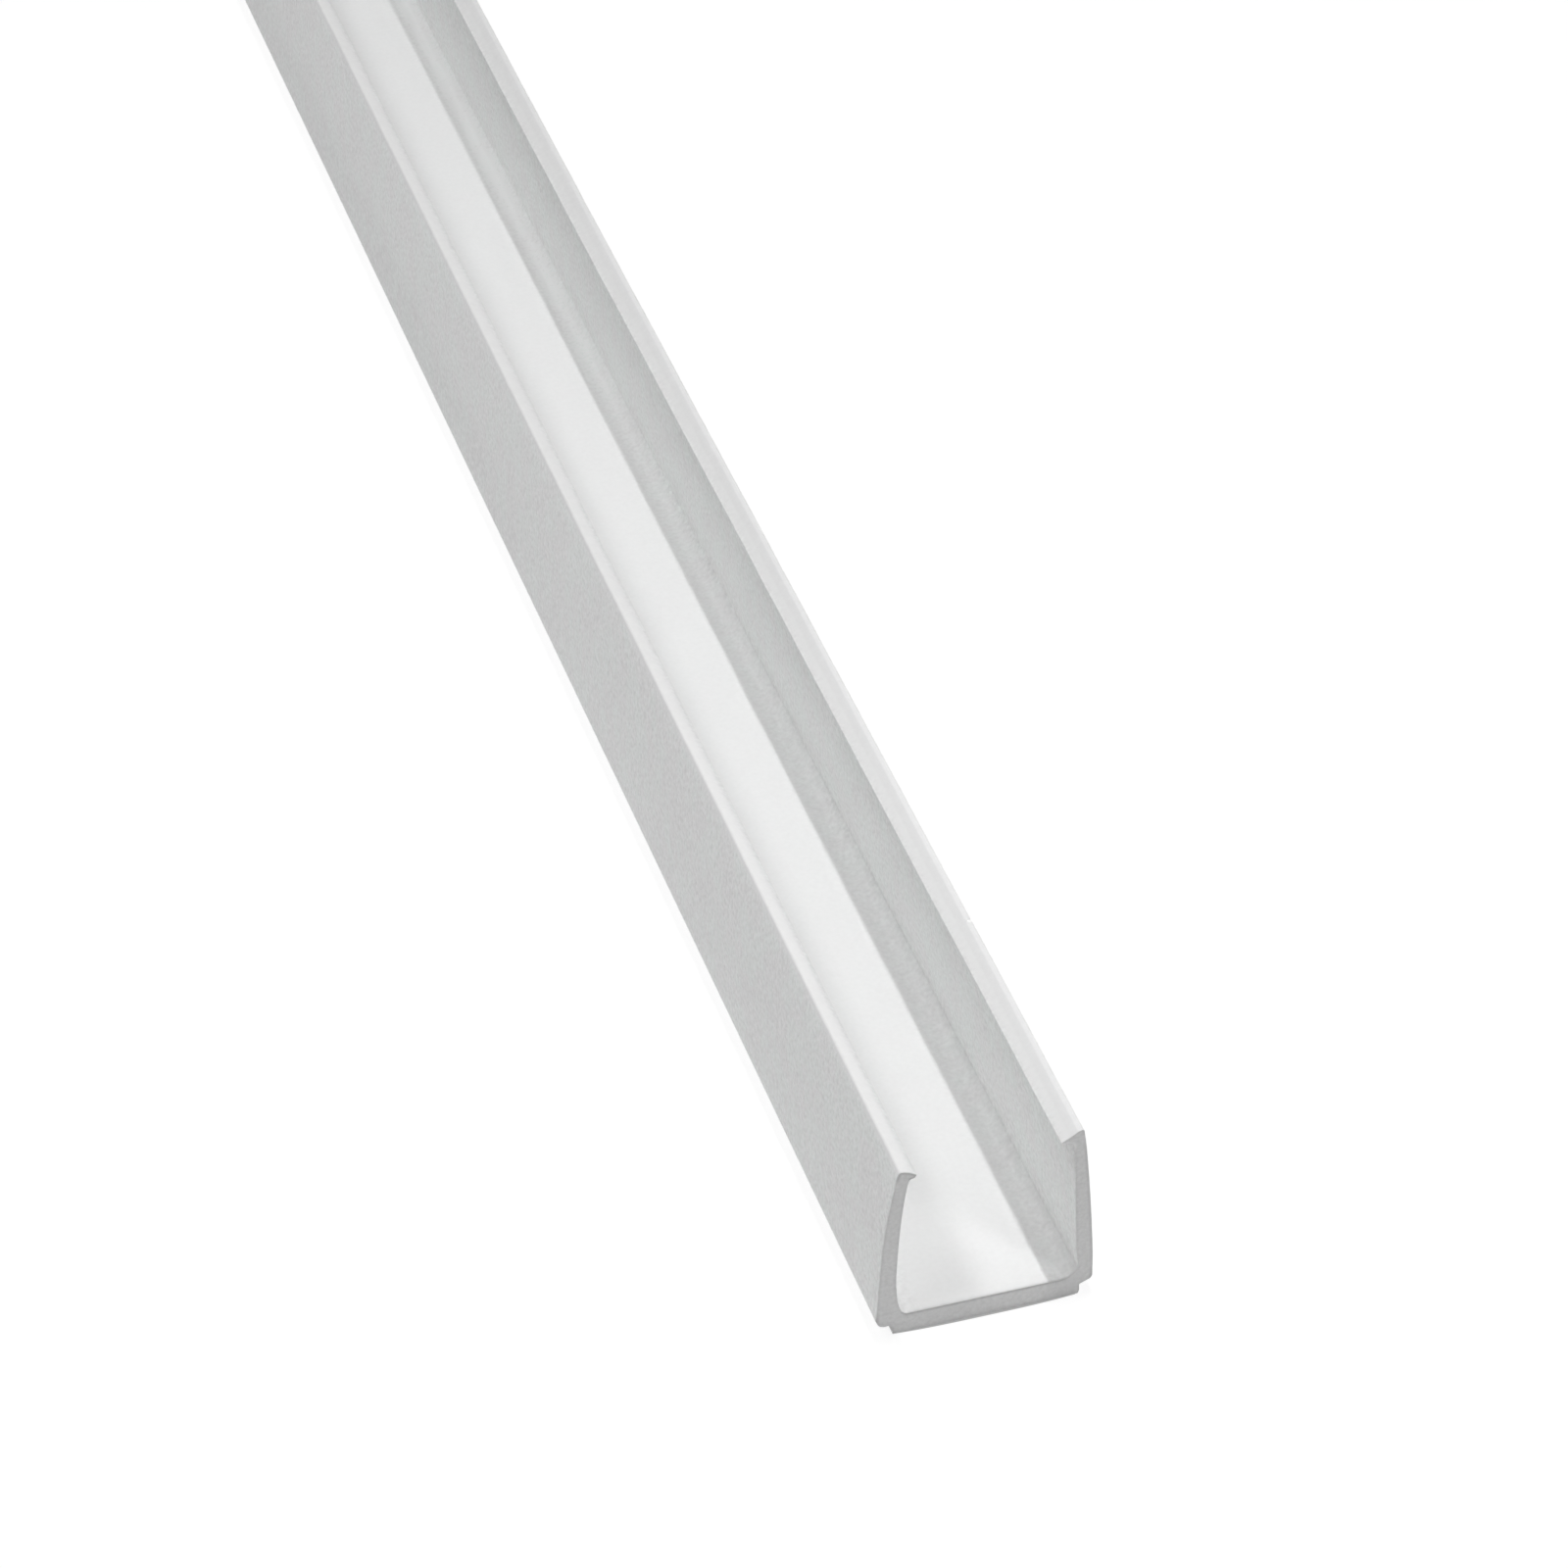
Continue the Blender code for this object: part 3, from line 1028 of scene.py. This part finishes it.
def vary_roughness(tree, shader, value, value_range, roughness_range):
    """Lets the roughness follow a value that varies."""
    spread = {"Value": value, "From Min": value_range[0], "From Max": value_range[1]}
    spread |= {"To Min": roughness_range[0], "To Max": roughness_range[1]}
    roughness = add_node(tree, "ShaderNodeMapRange", spread).outputs["Result"]
    tree.links.new(roughness, shader.inputs["Roughness"])


def add_relief(tree, shader, height, strength, depth):
    """Lets light and shade follow a height, without moving the surface."""
    values = {"Height": height, "Strength": strength, "Distance": depth}
    bump = add_node(tree, "ShaderNodeBump", values)
    tree.links.new(bump.outputs["Normal"], shader.inputs["Normal"])


stored = [layer.name for layer in channel_mesh.attributes if layer.data_type == "FLOAT"]
print("masks that the finishes can read:", ", ".join(stored))

# %% [markdown]
# ## The extruded skin
#
# The skin has slid along polished steel while still warm, so it is satin rather than glossy, and
# every scratch of the die has drawn a hair-fine line along it. The lines are noise stretched
# along the length on the UV map. They change the height a little and the roughness a little. The
# grain breaks up the highlight. Painted shade makes the groove, the ramp, the left lip's nose, the
# low part of the left wall and the lips' tops a shade darker than the clean plastic, painted light
# makes the foot a shade lighter, painted shade and highlight run along the sawn border, and the
# floor and the lips' tops are calmer than the rest.

# %% Make the skin material
SKIN_TINTS = ((0.929, 0.927, 0.928, 1.0), (0.918, 0.939, 0.929, 1.0))
FLOOR_LIVELINESS = 0.15
DIE_LINE_STRETCH = (4200.0, 22.0, 0.0)
DIE_LINE_RELIEF = 0.6
# Tones of the painted shade and light, and of the painted shade along the sawn border.
PAINTED_SHADE_TONE, PAINTED_SHADE_BREAKS = 0.86, 900.0
RIM_SHADE_TONE, RIM_SHADE_BREAKS = 0.80, 1500.0
SKIN_ROUGHNESS = (0.36, 0.5)
SKIN_RELIEF, SKIN_RELIEF_DEPTH = 0.18, 0.00001


def skin_material(name):
    """Satin extruded plastic with die lines, painted shade and painted highlight."""
    material, tree, shader = plain_material(name)
    place = add_node(tree, "ShaderNodeTexCoord").outputs["Object"]
    run = add_node(tree, "ShaderNodeUVMap", uv_map="run").outputs["UV"]
    calmed = {"Value": stored_mask(tree, "calm"), "To Min": 1.0, "To Max": FLOOR_LIVELINESS}
    lively = add_node(tree, "ShaderNodeMapRange", calmed).outputs["Result"]
    tone = {"Place": place, "First Tint": SKIN_TINTS[0], "Second Tint": SKIN_TINTS[1]}
    tone |= {"Patches per Metre": 260.0, "Cloud Strength": 0.12}
    tone |= {"Grains per Metre": 2300.0, "Grain Strength": 0.50, "Liveliness": lively}
    mottled = place_group(tree, mottling, tone)
    # Painted shade and light, then painted shade and highlight along the sawn border.
    painted_shaded = painted_shade_colour(tree, place, mottled["Colour"], PAINTED_SHADE_TONE, "painted_shading", PAINTED_SHADE_BREAKS)
    rim_shaded = painted_shade_colour(tree, place, painted_shaded, RIM_SHADE_TONE, "sawn_rim", RIM_SHADE_BREAKS)
    tree.links.new(rim_shaded, shader.inputs["Base Color"])

    stretch = {0: run, 1: DIE_LINE_STRETCH}
    stretched = add_node(tree, "ShaderNodeVectorMath", stretch, operation="MULTIPLY")
    lines = {"Vector": stretched.outputs["Vector"], "Scale": 1.0, "Detail": 3.0}
    die_lines = add_node(tree, "ShaderNodeTexNoise", lines).outputs["Fac"]
    gloss = arithmetic(tree, "ADD", mottled["Grain"], die_lines)
    vary_roughness(tree, shader, gloss, (0.6, 1.4), SKIN_ROUGHNESS)
    drawn = arithmetic(tree, "MULTIPLY", die_lines, DIE_LINE_RELIEF)
    relief = arithmetic(tree, "ADD", mottled["Grain"], drawn)
    relief = arithmetic(tree, "MULTIPLY", relief, lively)
    add_relief(tree, shader, relief, SKIN_RELIEF, SKIN_RELIEF_DEPTH)
    return material


channel_mesh.materials.append(skin_material("extruded_skin"))
skin_faces = [face for face in channel_mesh.polygons if face.material_index == SKIN_FACE]
print("skin material on", len(skin_faces), "faces")

# %% [markdown]
# ## The sawn ends
#
# A fine-toothed saw leaves the plastic matt, with faint straight scores that all run one way, and
# painted shade darkens some stretches of the border. The scores are noise again, this time
# stretched along the saw's path across the face. They could be cut into the mesh, but they are only
# hundredths of a millimetre deep, so a relief in the finish is enough. The plastic inside is a
# slightly duller, quite neutral white, because it never touched the polished die.

# %% Make the sawn material
SAWN_TINTS = ((0.80, 0.80, 0.80, 1.0), (0.785, 0.785, 0.785, 1.0))
SAW_ANGLE = math.radians(12.0)
SCORE_STRETCH = (300.0, 6500.0, 1.0)
# Tone of the painted shade along the sawn border.
SAWN_RIM_SHADE_TONE, SAWN_RIM_SHADE_BREAKS = 0.72, 1300.0
SAWN_GRAIN_RELIEF = 0.5
SAWN_ROUGHNESS = (0.55, 0.75)
SAWN_RELIEF, SAWN_RELIEF_DEPTH = 0.5, 0.00002


def sawn_material(name):
    """Matt sawn plastic with scores and painted shade along its border."""
    material, tree, shader = plain_material(name)
    place = add_node(tree, "ShaderNodeTexCoord").outputs["Object"]
    across = add_node(tree, "ShaderNodeUVMap", uv_map="run").outputs["UV"]
    tone = {"Place": place, "First Tint": SAWN_TINTS[0], "Second Tint": SAWN_TINTS[1]}
    tone |= {"Patches per Metre": 450.0, "Cloud Strength": 0.09}
    tone |= {"Grains per Metre": 2600.0, "Grain Strength": 0.32, "Liveliness": 1.0}
    mottled = place_group(tree, mottling, tone)
    # Painted shade and highlight along the sawn border.
    plain, smear = mottled["Colour"], (SAWN_RIM_SHADE_TONE, "sawn_rim", SAWN_RIM_SHADE_BREAKS)
    tree.links.new(painted_shade_colour(tree, place, plain, *smear), shader.inputs["Base Color"])

    turn = {"Vector": across, "Rotation": (0.0, 0.0, SAW_ANGLE), "Scale": SCORE_STRETCH}
    path = add_node(tree, "ShaderNodeMapping", turn).outputs["Vector"]
    fine = {"Vector": path, "Scale": 1.0, "Detail": 2.0}
    scores = add_node(tree, "ShaderNodeTexNoise", fine).outputs["Fac"]
    vary_roughness(tree, shader, scores, (0.3, 0.7), SAWN_ROUGHNESS)
    grain = arithmetic(tree, "MULTIPLY", mottled["Grain"], SAWN_GRAIN_RELIEF)
    relief = arithmetic(tree, "ADD", scores, grain)
    add_relief(tree, shader, relief, SAWN_RELIEF, SAWN_RELIEF_DEPTH)
    return material


channel_mesh.materials.append(sawn_material("sawn_end"))
sawn_faces = [face for face in channel_mesh.polygons if face.material_index == SAWN_FACE]
print("sawn material on", len(sawn_faces), "faces")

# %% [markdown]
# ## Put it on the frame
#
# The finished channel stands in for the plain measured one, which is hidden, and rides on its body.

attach(channel, "root")
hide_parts("channel_profile")
